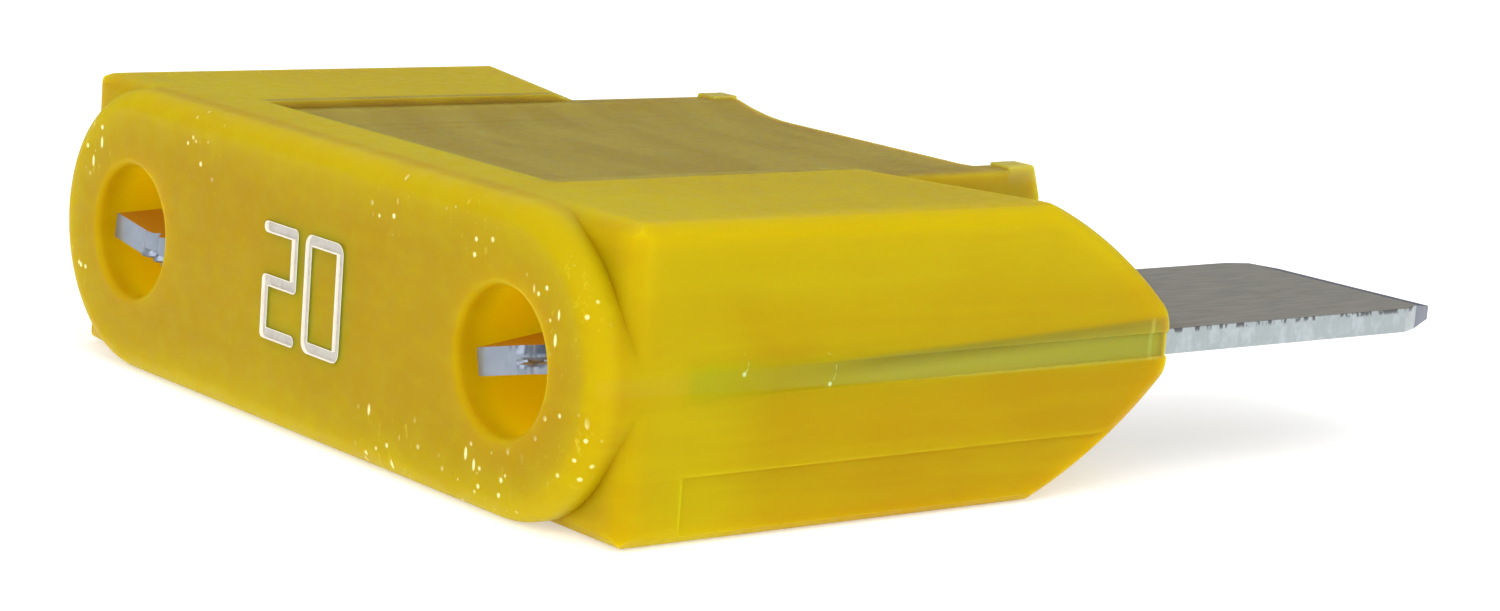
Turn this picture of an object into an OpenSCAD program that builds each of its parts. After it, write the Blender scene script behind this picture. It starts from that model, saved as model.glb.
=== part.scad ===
// Automotive blade fuse, large frame, 20 A.
// It lies flat: X runs across the two blades, Y along them with the blades
// pointing to +Y, and Z is the thickness, with the rest plane at z = 0.

/* [Overall] */
// Width across the housing (X)
body_w = 29.2; // [26:0.1:36]
// Thickness of the head and the columns (Z)
body_t = 8.9; // [7.4:0.1:11]
// Length from the head's face to the blade tips (Y)
overall_len = 34.3; // [30:0.1:42]

/* [Head] */
// Height of the stadium-shaped boss over the collar's corners
head_len = 1; // [0.8:0.1:2]
// Radius of the rounded rim of the boss
head_edge_r = 0.7; // [0.3:0.05:0.75]
// Length of the full-thickness collar behind the boss
collar_len = 2.1; // [1.6:0.1:2.4]
// Radius of the collar's soft front edges
collar_front_r = 0.7; // [0.3:0.05:0.75]
// Radius of the collar's long corners
collar_edge_r = 0.3; // [0.2:0.05:0.6]
// Diameter of the two test holes
test_hole_d = 4.2; // [3.4:0.1:5.2]
// Radius of the soft lip of each test hole
hole_lip_r = 0.2; // [0.1:0.05:0.3]

/* [Rating] */
// Height of the engraved figures
figure_h = 3.55; // [2.8:0.05:4.4]
// Width of the figure 2
two_w = 1.9; // [1.5:0.05:2.4]
// Width of the figure 0
zero_w = 2.05; // [1.5:0.05:2.4]
// Gap between the two figures
figure_gap = 0.4; // [0.3:0.05:0.6]
// Width of the figures' stroke
stroke_w = 0.36; // [0.25:0.01:0.45]
// Outer corner radius of the figures
figure_r = 0.35; // [0.1:0.05:0.6]
// Depth of the engraving
figure_depth = 0.15; // [0.08:0.01:0.25]

/* [Columns] */
// Length of the straight part, measured from the head's face
column_straight = 16.3; // [13:0.1:19]
// Length of the curved nose after the straight part
nose_len = 5; // [4:0.1:6.5]
// Thickness left at the blunt end of the nose
nose_tip_t = 2.5; // [1.8:0.1:2.8]
// Radius of the nose curve, seen from the side
nose_r = 16; // [10:0.5:20]
// Distance that the flat top ends earlier at a column's inner side
facet_lead = 2; // [1:0.1:2.5]
// Slope of the facet that cuts the nose's inner shoulder
facet_tilt = 19.6; // [15:0.2:24]
// Radius of the long outer corners of the columns
column_edge_r = 0.6; // [0.3:0.05:0.9]
// Depth of the shallow window groove along each side
window_depth = 0.1; // [0.05:0.01:0.15]
// Height of the window groove
window_h = 0.85; // [0.8:0.05:1.2]
// Depth of the mould's parting step, low on each side
step_depth = 0.08; // [0.04:0.01:0.12]
// Distance of the parting step below the middle plane
step_drop = 2.5; // [1.5:0.1:3]

/* [Middle block] */
// Distance that the block reaches past the noses
block_reach = 0.6; // [0.3:0.05:1]
// Depth of the flat panel below the columns
panel_depth = 0.65; // [0.4:0.05:0.9]
// Depth of the block's side ridges below the columns
ridge_depth = 0.25; // [0.15:0.05:0.35]
// Width of each side ridge
ridge_w = 1; // [0.8:0.1:2]
// Width of the concave blend from the panel up to the ridge
blend_w = 2.7; // [1.5:0.1:3]
// Length of the small pads at the block's end corners
pad_len = 1.35; // [0.8:0.05:1.6]
// Width of the corner pads
pad_w = 0.9; // [0.7:0.1:1.4]
// Height of the corner pads over the ridges
pad_h = 0.15; // [0.1:0.05:0.3]

/* [Inside] */
// Distance from the head's face to the shoulders of the element
shoulder_y = 3.3; // [2.6:0.1:4.2]
// Distance from the shoulders to the roof of the link chamber
chamber_roof = 1; // [0.6:0.1:2]
// Width of each blade's inner margin that stands free in the chamber
chamber_lap = 0.65; // [0.4:0.05:1]
// Wall left between the chamber and the panel
panel_wall = 1.1; // [0.8:0.05:1.4]
// Wall left between the chamber and the block's side
chamber_side_wall = 1; // [0.8:0.1:1.8]
// Thin wall left between the blade slot and the window groove
window_wall = 0.15; // [0.1:0.01:0.25]
// Clearance between the element and its slots, on each side
slot_clearance = 0.05; // [0.03:0.01:0.1]

/* [Element] */
// Width of each blade
blade_w = 8; // [6.5:0.1:8.6]
// Thickness of the blades
blade_t = 0.8; // [0.6:0.05:0.9]
// Length of the thinned lead-in at the blade tips
lead_len = 1.1; // [0.6:0.1:2]
// Thickness left at the very tip
tip_t = 0.45; // [0.3:0.05:0.6]
// Width of the cut corners of the blade tips
corner_w = 0.7; // [0.4:0.1:1.2]
// Length of the cut corners of the blade tips
corner_len = 1.9; // [0.8:0.1:2.4]
// Gap between each side of the tab and the test hole around it
tab_side_gap = 0.35; // [0.3:0.05:0.6]
// Depth of the tab's end below the head's face
tab_depth = 0.5; // [0.3:0.1:1]
// Twist that locks the right-hand tab, outer end up
right_twist = 13; // [0:1:16]
// Twist that locks the left-hand tab, outer end up
left_twist = 8; // [0:1:10]
// Distance that the left-hand tab's end is pressed down
left_set = 0.35; // [0:0.05:0.35]
// Distance that the tab's root reaches into the shank
tab_root = 0.2; // [0.1:0.05:0.4]
// Width of the flat left after cutting the tab from its strip
tab_flat_w = 1.9; // [1.5:0.1:2.2]
// Depth of the torn step beside that flat
torn_depth = 0.16; // [0.08:0.02:0.3]

/* [Fuse link] */
// Thickness of the link, milled down from the blades
link_t = 0.4; // [0.3:0.05:0.6]
// Width of the link
link_w = 1.7; // [1.3:0.1:2]
// Pitch between the link's three runs
link_pitch = 3.3; // [2.8:0.1:3.6]
// Distance from the chamber's roof to the edge of the first run
link_gap = 1.4; // [1:0.1:2]
// Gap left between each turn of the link and the opposite blade
turn_gap = 1.3; // [1:0.1:1.8]
// Radius of the two notches that make the weak spot
neck_r = 0.4; // [0.2:0.05:0.5]

/* [Hidden] */
$fn = 64;
eps = 0.01;

half_w = body_w / 2;
half_t = body_t / 2;
// The head's ends are half circles, and each test hole shares their centre
hole_x = half_w - half_t;
collar_end = head_len + collar_len;
// The columns and the block start halfway inside the collar
body_y = head_len + collar_len / 2;
nose_end = column_straight + nose_len;
block_end = nose_end + block_reach;
panel_z = half_t - panel_depth;
ridge_z = half_t - ridge_depth;
blend_h = ridge_z - panel_z;
// Circle that is tangent to the panel and meets the ridge's edge
blend_r = (blend_w * blend_w + blend_h * blend_h) / (2 * blend_h);

// The figures stand side by side, centred on the head
rating_w = two_w + figure_gap + zero_w;
two_x = two_w / 2 - rating_w / 2;
zero_x = rating_w / 2 - zero_w / 2;
hook_h = (figure_h + stroke_w) / 2;

// The blades lie just inside the window walls
slot_outer = half_w - window_depth - window_wall;
blade_outer = slot_outer - slot_clearance;
blade_inner = blade_outer - blade_w;
slot_inner = blade_inner - slot_clearance;
slot_half_t = blade_t / 2 + slot_clearance;
tab_w = test_hole_d - 2 * tab_side_gap;
tab_len = shoulder_y - tab_depth;

// The chamber bares the blades' inner margins, and the block wraps it
chamber_y = shoulder_y + chamber_roof;
chamber_half_w = slot_inner + chamber_lap;
chamber_half_t = panel_z - panel_wall;
block_half_w = chamber_half_w + chamber_side_wall;
panel_half_w = block_half_w - ridge_w - blend_w;
pad_rise = blend_h + pad_h;

// Centre of the nose circle, through the straight part's end and the blunt tip
nose_drop = half_t - nose_tip_t / 2;
nose_chord = sqrt(nose_len * nose_len + nose_drop * nose_drop);
nose_rise = sqrt(nose_r * nose_r - nose_chord * nose_chord / 4);
nose_mid_y = column_straight + nose_len / 2;
nose_mid_z = half_t - nose_drop / 2;
nose_cy = nose_mid_y - nose_rise * nose_drop / nose_chord;
nose_cz = nose_mid_z - nose_rise * nose_len / nose_chord;

// Link: three runs across the chamber, joined by two half-ring turns
run_y = [for (i = [0:2]) chamber_y + link_gap + link_w / 2 + i * link_pitch];
turn_x = blade_inner - turn_gap - link_w / 2 - link_pitch / 2;
turn_out_r = (link_pitch + link_w) / 2;
turn_in_r = (link_pitch - link_w) / 2;

// Moves the fuse from its own frame, head face at y = 0 and middle plane at
// z = 0, to the resting frame with its origin under the middle of the box
module rest_frame() {
    translate([0, -overall_len / 2, half_t])
        children();
}

// Places an X-Z outline and extrudes it from y0 to y1
module along_y(y0, y1) {
    translate([0, y1, 0])
        rotate([90, 0, 0])
            linear_extrude(y1 - y0)
                children();
}

// Places a Y-Z outline and extrudes it from x0 to x1
module along_x(x0, x1) {
    translate([x0, 0, 0])
        rotate([90, 0, 90])
            linear_extrude(x1 - x0)
                children();
}

// Repeats a right-hand feature on the left
module both_sides() {
    children();
    mirror([1, 0, 0])
        children();
}

// Repeats an upper feature below
module both_faces() {
    children();
    mirror([0, 0, 1])
        children();
}

// Rectangle centred on the origin with rounded corners
module round_rect(w, h, r) {
    square([w - 2 * r, h], center = true);
    square([w, h - 2 * r], center = true);
    for (x = [-1, 1], y = [-1, 1])
        translate([x * (w / 2 - r), y * (h / 2 - r)])
            circle(r);
}

// Half outline of the head: radius along X, height along Y, rounded in front
module head_profile() {
    translate([0, head_edge_r])
        square([half_t, collar_end - head_edge_r]);
    square([half_t - head_edge_r, collar_end]);
    translate([half_t - head_edge_r, head_edge_r])
        circle(head_edge_r);
}

// Stadium head with a rounded rim, as long as the boss and the collar together
module head_boss() {
    both_sides()
        translate([hole_x, 0, 0])
            rotate([-90, 0, 0])
                rotate_extrude()
                    head_profile();
    both_faces()
        along_x(-hole_x, hole_x)
            rotate(90)
                mirror([0, 1])
                    head_profile();
}

// Side view of a column: straight part and curved nose
module column_side() {
    translate([body_y, -half_t])
        square([column_straight - body_y, body_t]);
    intersection() {
        translate([column_straight - eps, -half_t])
            square([nose_len + eps, body_t]);
        translate([nose_cy, nose_cz])
            circle(nose_r);
        translate([nose_cy, -nose_cz])
            circle(nose_r);
    }
}

// Space above the flat facet on the inner shoulder of the right-hand nose
module nose_facet() {
    translate([half_w, column_straight, half_t])
        rotate([0, 0, atan(facet_lead / (half_w - block_half_w))])
            rotate([-facet_tilt, 0, 0])
                translate([-body_w, 0, 0])
                    cube([body_w, body_w, body_t]);
}

// Right-hand column with its rounded long corners
module column() {
    difference() {
        intersection() {
            along_y(body_y, nose_end)
                round_rect(body_w, body_t, column_edge_r);
            along_x(block_half_w, half_w)
                column_side();
        }
        both_faces()
            nose_facet();
    }
}

// Section of the middle block, with the sunk panel and its concave blends
module block_section() {
    difference() {
        square([2 * block_half_w + 2 * eps, 2 * ridge_z], center = true);
        for (s = [-1, 1]) {
            translate([-panel_half_w, s > 0 ? panel_z : -half_t])
                square([2 * panel_half_w, panel_depth]);
            for (x = [-1, 1])
                translate([x * panel_half_w, s * (panel_z + blend_r)])
                    circle(blend_r, $fn = 180);
        }
    }
}

// Middle block with its four corner pads
module middle_block() {
    along_y(body_y, block_end)
        block_section();
    both_sides()
        both_faces()
            translate([block_half_w - pad_w, block_end - pad_len, panel_z])
                cube([pad_w, pad_len, pad_rise]);
}

// Outline of the collar, w wide, with its two front corners rounded
module collar_outline(w) {
    translate([head_len + collar_front_r, -w / 2])
        square([collar_len - collar_front_r, w]);
    translate([head_len, collar_front_r - w / 2])
        square([collar_len, w - 2 * collar_front_r]);
    for (s = [-1, 1])
        translate([head_len + collar_front_r, s * (w / 2 - collar_front_r)])
            circle(collar_front_r);
}

// Full-thickness collar: its corners show as soft ears behind the head
module collar() {
    intersection() {
        along_y(head_len - 1, collar_end)
            round_rect(body_w, body_t, collar_edge_r);
        along_x(-half_w, half_w)
            collar_outline(body_t);
        linear_extrude(body_t, center = true)
            rotate(90)
                mirror([0, 1])
                    collar_outline(body_w);
    }
}

// Ring of one stroke's width with rounded outer corners
module figure_ring(w, h) {
    difference() {
        round_rect(w, h, figure_r);
        square([w - 2 * stroke_w, h - 2 * stroke_w], center = true);
    }
}

// Upper half of the figure 2: a ring that is open on its left
module figure_hook() {
    translate([0, hook_h / 2 - stroke_w / 2])
        difference() {
            union() {
                figure_ring(two_w, hook_h);
                translate([-two_w / 2, hook_h / 2 - stroke_w])
                    square([two_w / 2, stroke_w]);
            }
            translate([-two_w / 2 - 1, stroke_w - hook_h / 2])
                square([stroke_w + 1, hook_h - 2 * stroke_w]);
        }
}

// The rating 20, engraved in the head's face
module rating() {
    along_y(-1, figure_depth) {
        translate([two_x, 0]) {
            figure_hook();
            rotate(180)
                figure_hook();
        }
        translate([zero_x, 0])
            figure_ring(zero_w, figure_h);
    }
}

// Test hole down to the element's shoulders, with a rounded lip
module test_hole() {
    translate([hole_x, 0, 0])
        rotate([-90, 0, 0]) {
            translate([0, 0, -eps])
                cylinder(d = test_hole_d, h = shoulder_y + eps);
            rotate_extrude()
                difference() {
                    translate([0, -eps])
                        square([test_hole_d / 2 + hole_lip_r, hole_lip_r + eps]);
                    translate([test_hole_d / 2 + hole_lip_r, hole_lip_r])
                        circle(hole_lip_r);
                }
        }
}

// Slot that the blade's shank slides into from the open end
module blade_slot() {
    translate([slot_inner, shoulder_y, -slot_half_t])
        cube([slot_outer - slot_inner, block_end - shoulder_y + 1, 2 * slot_half_t]);
}

// Window groove along the outside of a column
module window_groove() {
    translate([half_w - window_depth, shoulder_y, -window_h / 2])
        cube([window_depth + 1, nose_end - shoulder_y + 1, window_h]);
}

// Parting step along the lower part of each side
module parting_step() {
    translate([half_w - step_depth, collar_end, -half_t - 1])
        cube([step_depth + 1, nose_end - collar_end + 1, half_t + 1 - step_drop]);
}

// Chamber around the fuse link, open at the blade end
module link_chamber() {
    translate([-chamber_half_w, chamber_y, -chamber_half_t])
        cube([2 * chamber_half_w, block_end - chamber_y + 1, 2 * chamber_half_t]);
}

// One-piece moulded housing
module housing() {
    color([0.82, 0.72, 0.12])
        rest_frame()
            difference() {
                union() {
                    head_boss();
                    collar();
                    both_sides()
                        column();
                    middle_block();
                }
                both_sides() {
                    test_hole();
                    blade_slot();
                    window_groove();
                    parting_step();
                }
                link_chamber();
                rating();
            }
}

// Plan view of one blade with its shank and cut tip corners
module blade_plan() {
    polygon([
        [blade_inner, shoulder_y],
        [blade_outer, shoulder_y],
        [blade_outer, overall_len - corner_len],
        [blade_outer - corner_w, overall_len],
        [blade_inner + corner_w, overall_len],
        [blade_inner, overall_len - corner_len]
    ]);
}

// Side view of a blade with the thinned lead-in
module blade_side() {
    polygon([
        [shoulder_y, -blade_t / 2],
        [overall_len - lead_len, -blade_t / 2],
        [overall_len, -tip_t / 2],
        [overall_len, tip_t / 2],
        [overall_len - lead_len, blade_t / 2],
        [shoulder_y, blade_t / 2]
    ]);
}

// Right-hand blade
module blade() {
    intersection() {
        linear_extrude(blade_t, center = true)
            blade_plan();
        along_x(blade_inner, blade_outer)
            blade_side();
    }
}

// Tab that stands in the right (side = 1) or left (side = -1) test hole. It
// twists outer end up, and its end was torn off the strip on the +X half.
module test_tab(side, twist, set) {
    translate([side * hole_x, shoulder_y, 0])
        rotate([90 + asin(set / tab_len), 0, 0])
            difference() {
                union() {
                    linear_extrude(tab_len, twist = -side * twist, slices = 6, $fn = 8)
                        square([tab_w, blade_t], center = true);
                    translate([-tab_w / 2, -blade_t / 2, -tab_root])
                        cube([tab_w, blade_t, tab_root + eps]);
                }
                translate([0, 0, tab_len - torn_depth])
                    rotate(side * twist)
                        translate([tab_flat_w - tab_w / 2, -blade_t, 0])
                            cube([tab_w, 2 * blade_t, 2 * torn_depth]);
            }
}

// Plan view of the fuse link
module link_plan() {
    difference() {
        union() {
            translate([-blade_inner - eps, run_y[0] - link_w / 2])
                square([blade_inner + eps + turn_x, link_w]);
            translate([-turn_x, run_y[1] - link_w / 2])
                square([2 * turn_x, link_w]);
            translate([-turn_x, run_y[2] - link_w / 2])
                square([turn_x + blade_inner + eps, link_w]);
            link_turn(1, (run_y[0] + run_y[1]) / 2);
            link_turn(-1, (run_y[1] + run_y[2]) / 2);
        }
        for (s = [-1, 1])
            translate([0, run_y[1] + s * link_w / 2])
                circle(neck_r);
    }
}

// Half-ring turn on the right (side = 1) or the left (side = -1)
module link_turn(side, y) {
    intersection() {
        translate([side * turn_x, y])
            difference() {
                circle(turn_out_r);
                circle(turn_in_r);
            }
        translate([side > 0 ? turn_x : -turn_x - turn_out_r, y - turn_out_r])
            square([turn_out_r, 2 * turn_out_r]);
    }
}

// One-piece stamped element: two blades, two tabs and the link
module fuse_element() {
    color([0.66, 0.66, 0.65])
        rest_frame()
            union() {
                both_sides()
                    blade();
                test_tab(1, right_twist, 0);
                test_tab(-1, left_twist, left_set);
                linear_extrude(link_t, center = true)
                    link_plan();
            }
}

housing();
fuse_element();
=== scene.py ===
"""Large-frame automotive blade fuse, 20 A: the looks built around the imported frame."""
import math

import bmesh
import bpy
from mathutils import Matrix, Vector


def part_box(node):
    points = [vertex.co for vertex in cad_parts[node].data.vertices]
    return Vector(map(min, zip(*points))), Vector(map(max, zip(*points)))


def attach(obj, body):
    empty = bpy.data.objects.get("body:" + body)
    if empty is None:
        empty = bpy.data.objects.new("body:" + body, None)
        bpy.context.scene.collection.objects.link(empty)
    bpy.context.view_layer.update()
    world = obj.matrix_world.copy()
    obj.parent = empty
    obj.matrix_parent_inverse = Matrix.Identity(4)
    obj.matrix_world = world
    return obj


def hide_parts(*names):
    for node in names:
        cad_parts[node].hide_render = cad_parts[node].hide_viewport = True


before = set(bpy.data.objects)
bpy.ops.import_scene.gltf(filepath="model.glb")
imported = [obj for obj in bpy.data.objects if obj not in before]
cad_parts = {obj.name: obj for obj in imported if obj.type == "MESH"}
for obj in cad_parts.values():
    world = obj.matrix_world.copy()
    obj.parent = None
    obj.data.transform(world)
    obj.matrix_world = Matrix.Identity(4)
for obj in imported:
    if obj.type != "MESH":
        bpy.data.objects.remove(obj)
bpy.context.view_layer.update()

# ---------------------------------------------------------------- sizes, mm
# Shapes are built in millimetres in the fuse's own frame: head face at y = 0,
# blades towards +y, middle plane at z = 0. TO_ROW then puts them in place.
MM = 0.001
shell_low, shell_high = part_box("housing")
metal_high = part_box("fuse_element")[1]
HEAD_Y = shell_low.y
MID_Z = (shell_low.z + shell_high.z) / 2
TO_ROW = Matrix.Translation((0, HEAD_Y, MID_Z)) @ Matrix.Scale(MM, 4)

HALF_W = (shell_high.x - shell_low.x) / 2 / MM
HALF_T = (shell_high.z - shell_low.z) / 2 / MM
BLOCK_END = (shell_high.y - shell_low.y) / MM
BLADE_END = (metal_high.y - shell_low.y) / MM

# head, test holes and collar
HOLE_X = HALF_W - HALF_T
HOLE_R = 2.1
HOLE_LIP = 0.2
SHOULDER_Y = 3.3
HEAD_LEN = 1.0
HEAD_EDGE = 0.7
COLLAR_END = 3.1
COLLAR_FRONT_R = 0.7
COLLAR_EDGE_R = 0.6
# columns and block start this far inside the collar, out of sight
HIDDEN_START = HEAD_LEN + 1.0

# columns: straight part, curved nose and the facet on its inner shoulder
STRAIGHT = 16.3
NOSE_END = 21.3
NOSE_TIP = 1.25
NOSE_R = 16.0
COLUMN_EDGE_R = 0.6
COLUMN_SINK = 0.4
FACET_LEAD = 2.0
FACET_TILT = math.radians(19.6)

# middle block: chamber, sunk panel, side ridges, corner pads and slanted end
CHAMBER_ROOF = 1.0
CHAMBER_SIDE_WALL = 1.0
PANEL_WALL = 1.1
PANEL_DEPTH = 0.65
RIDGE_DEPTH = 0.25
CHAMBER_W = 6.9
CHAMBER_Y = SHOULDER_Y + CHAMBER_ROOF
BLOCK_HALF_W = CHAMBER_W + CHAMBER_SIDE_WALL
RIDGE_Z = HALF_T - RIDGE_DEPTH
RIDGE_W = 1.0
RIDGE_R = 0.18
BLEND_W = 2.7
PANEL_Z = HALF_T - PANEL_DEPTH
CHAMBER_T = PANEL_Z - PANEL_WALL
FILLET_SHY = 0.03
PAD_LEN = 1.35
PAD_W = 0.9
PAD_H = 0.12
PAD_EDGE_R = 0.1
PAD_BACK_R = 0.06
PAD_SINK = 0.5
SLANT_Z = 3.3
SLANT = math.radians(18)

# window groove on each side, and the step below it
WINDOW_DEPTH = 0.08
WINDOW_HALF = 0.43
WINDOW_START = 5.0
WINDOW_FLOOR = 0.8
WINDOW_FLARE = 2.5
WINDOW_SKIN = 0.25
STEP_DEPTH = 0.08
STEP_DROP = 2.5

# blade slots and blades
SLOT_OUTER = HALF_W - WINDOW_SKIN
SLOT_GAP = 0.05
BLADE_OUTER = SLOT_OUTER - SLOT_GAP
BLADE_W = 8.0
BLADE_T = 0.8
BLADE_INNER = BLADE_OUTER - BLADE_W
LEAD_LEN = 1.1
TIP_T = 0.45
BLADE_EDGE_R = 0.035
TIP_CORNER_W = 0.7
TIP_CORNER_L = 1.9

# tabs in the test holes
TAB_W = 3.5
TAB_TOP = 0.5
TAB_FLAT = 1.9
TAB_ROOT = 0.2
TAB_EDGE_R = 0.06
RIGHT_TWIST = math.radians(13)
LEFT_TWIST = math.radians(8)
LEFT_DROP = 0.35
TAB_RINGS = 10

# fuse link
LINK_T = 0.4
LINK_LAP = 0.2
LINK_W = 1.7
LINK_PITCH = 3.3
LINK_GAP = 1.4
TURN_GAP = 1.3
LINK_FIRST = CHAMBER_Y + LINK_GAP + LINK_W / 2
LINK_TURN_X = BLADE_INNER - TURN_GAP - LINK_W / 2 - LINK_PITCH / 2
NECK_R = 0.4

# engraved figures and their lining
FIGURE_H = 3.55
TWO_W = 1.9
ZERO_W = 2.05
FIGURE_GAP = 0.4
STROKE = 0.36
FIGURE_R = 0.35
FIGURE_DEPTH = 0.15
LINING_GAP = 0.006
LINING_T = 0.02
LINING_TOP = 0.002

# scuffed places on the head's face: x, z, radius
SCUFF_PATCHES = ((-12.3, 2.6, 1.5), (-5.9, 3.2, 1.5), (4.6, 3.2, 1.3),
                 (8.4, 3.1, 1.5), (12.6, 1.6, 2.0), (5.0, -3.3, 1.9),
                 (9.6, -3.2, 2.2), (13.2, -1.6, 1.4), (-13.4, -1.2, 1.5))
# scratches on the window: centre y and z, radius, first and last y, and the bright
# foot's y and z
SCRATCHES = ((7.75, 0.12, 0.52, 7.95, 8.6, 8.08, -0.27),
             (4.75, 0.5, 0.36, 4.95, 5.3, 4.98, 0.22))

# floor: its gap under the fuse, which stops flat faces from flickering, and its
# reach each way in metres
FLOOR_GAP = 0.01
FLOOR_REACH = 1.5

# cutters reach this far past a face, and joined shapes sink this far in
PAST = 1.0
SINK = 0.3
MERGE = 1e-5

# how finely curves are cut
HEAD_STEPS = 56
HOLE_STEPS = 96
NOSE_STEPS = 20
BLEND_STEPS = 10
FILLET_STEPS = 8
LIP_STEPS = 6
TURN_STEPS = 24
NECK_STEPS = 6
# edges sharper than this stay crisp
CREASE = math.radians(32)


# ------------------------------------------------------------ mesh helpers
def finish_mesh(bm, name):
    """Closes a bmesh into a linked object, in millimetres."""
    bmesh.ops.remove_doubles(bm, verts=bm.verts, dist=MERGE)
    bmesh.ops.recalc_face_normals(bm, faces=bm.faces)
    mesh = bpy.data.meshes.new(name)
    bm.to_mesh(mesh)
    bm.free()
    obj = bpy.data.objects.new(name, mesh)
    bpy.context.scene.collection.objects.link(obj)
    return obj


def soften(bm, edges, radius, segments):
    """Rounds the given edges."""
    bmesh.ops.bevel(bm, geom=list(edges), offset=radius, segments=segments,
                    profile=0.5, affect="EDGES", material=-1, clamp_overlap=True)


def block(bm, low, high):
    """Adds a closed box between two corners and returns its vertices."""
    size = Vector(high) - Vector(low)
    centre = (Vector(high) + Vector(low)) / 2
    place = Matrix.Translation(centre) @ Matrix.Diagonal((*size, 1))
    return bmesh.ops.create_cube(bm, size=1, matrix=place)["verts"]


def arc(bm, start, centre, axis, angle, steps):
    """Spins a vertex into an arc and returns the vertex at its end."""
    made = bmesh.ops.spin(bm, geom=[start], cent=centre, axis=axis,
                          angle=angle, steps=steps)
    return next(g for g in made["geom_last"] if isinstance(g, bmesh.types.BMVert))


def close_outline(bm):
    """Fills the one closed outline in a bmesh."""
    bmesh.ops.remove_doubles(bm, verts=bm.verts, dist=MERGE)
    return bmesh.ops.contextual_create(bm, geom=bm.edges[:])["faces"][0]


def thicken(bm, faces, vector):
    """Extrudes faces along a vector and returns the moved faces."""
    made = bmesh.ops.extrude_face_region(bm, geom=list(faces), use_keep_orig=True)
    moved = [g for g in made["geom"] if isinstance(g, bmesh.types.BMVert)]
    bmesh.ops.translate(bm, verts=moved, vec=vector)
    return [g for g in made["geom"] if isinstance(g, bmesh.types.BMFace)]


def score(bm, point, normal):
    """Cuts every face along a plane, and takes nothing away."""
    bmesh.ops.bisect_plane(bm, geom=bm.verts[:] + bm.edges[:] + bm.faces[:],
                           dist=MERGE, plane_co=point, plane_no=normal)


def cut_away(bm, point, normal):
    """Cuts off what lies beyond a plane and closes the cut."""
    bmesh.ops.remove_doubles(bm, verts=bm.verts, dist=MERGE)
    cut = bmesh.ops.bisect_plane(
        bm, geom=bm.verts[:] + bm.edges[:] + bm.faces[:], dist=MERGE,
        plane_co=point, plane_no=normal, clear_outer=True)
    rim = [g for g in cut["geom_cut"] if isinstance(g, bmesh.types.BMEdge)]
    bmesh.ops.holes_fill(bm, edges=rim, sides=0)


def edges_at(bm, test):
    """Edges whose two ends both pass the test."""
    return [e for e in bm.edges if all(test(v.co) for v in e.verts)]


def combine(target, tool, operation):
    """Unites, cuts or keeps the common part of two closed solids."""
    step = target.modifiers.new("combine", "BOOLEAN")
    step.operation = operation
    step.solver = "MANIFOLD"
    step.object = tool
    depsgraph = bpy.context.evaluated_depsgraph_get()
    result = bpy.data.meshes.new_from_object(target.evaluated_get(depsgraph))
    target.modifiers.remove(step)
    spent = [target.data, tool.data]
    target.data = result
    bpy.data.objects.remove(tool)
    for mesh in spent:
        bpy.data.meshes.remove(mesh)


def place(obj, name, material):
    """Names a finished mesh, moves it into the row frame and gives it its finish."""
    obj.name = name
    obj.data.transform(TO_ROW)
    obj.data.materials.clear()
    obj.data.materials.append(material)
    for face in obj.data.polygons:
        face.use_smooth = True
        face.material_index = 0
    obj.data.set_sharp_from_angle(angle=CREASE)
    even = obj.modifiers.new("even shading", "WEIGHTED_NORMAL")
    even.keep_sharp = True


# ---------------------------------------------------------------- housing
def make_head():
    """Stadium head with a soft rim."""
    bm = bmesh.new()
    top = bm.verts.new((HOLE_X, 0, HALF_T))
    low = arc(bm, top, (HOLE_X, 0, 0), (0, 1, 0), math.pi, HEAD_STEPS)
    left = bm.verts.new((-HOLE_X, 0, -HALF_T))
    bm.edges.new((low, left))
    end = arc(bm, left, (-HOLE_X, 0, 0), (0, 1, 0), math.pi, HEAD_STEPS)
    bm.edges.new((end, top))
    face = close_outline(bm)
    thicken(bm, [face], (0, COLLAR_END, 0))
    soften(bm, edges_at(bm, lambda p: abs(p.y) < MERGE), HEAD_EDGE, 7)
    return finish_mesh(bm, "housing_shell")


def make_collar():
    """Full-thickness collar whose corners show as soft ears."""
    bm = bmesh.new()
    block(bm, (-HALF_W, HEAD_LEN, -HALF_T), (HALF_W, COLLAR_END, HALF_T))
    soften(bm, edges_at(bm, lambda p: p.y < HEAD_LEN + MERGE), COLLAR_FRONT_R, 7)
    collar = finish_mesh(bm, "collar")
    bm = bmesh.new()
    block(bm, (-HALF_W, HEAD_LEN - PAST, -HALF_T), (HALF_W, COLLAR_END, HALF_T))
    long_edges = [e for e in bm.edges
                  if abs(e.verts[0].co.y - e.verts[1].co.y) > MERGE]
    soften(bm, long_edges, COLLAR_EDGE_R, 5)
    combine(collar, finish_mesh(bm, "collar_corners"), "INTERSECT")
    return collar


def nose_centre():
    """Centre of the nose circle through the straight's end and the tip."""
    start, tip = Vector((STRAIGHT, HALF_T)), Vector((NOSE_END, NOSE_TIP))
    chord = tip - start
    rise = math.sqrt(NOSE_R ** 2 - chord.length_squared / 4)
    inward = Vector((chord.y, -chord.x)).normalized()
    return (start + tip) / 2 + inward * rise


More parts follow.
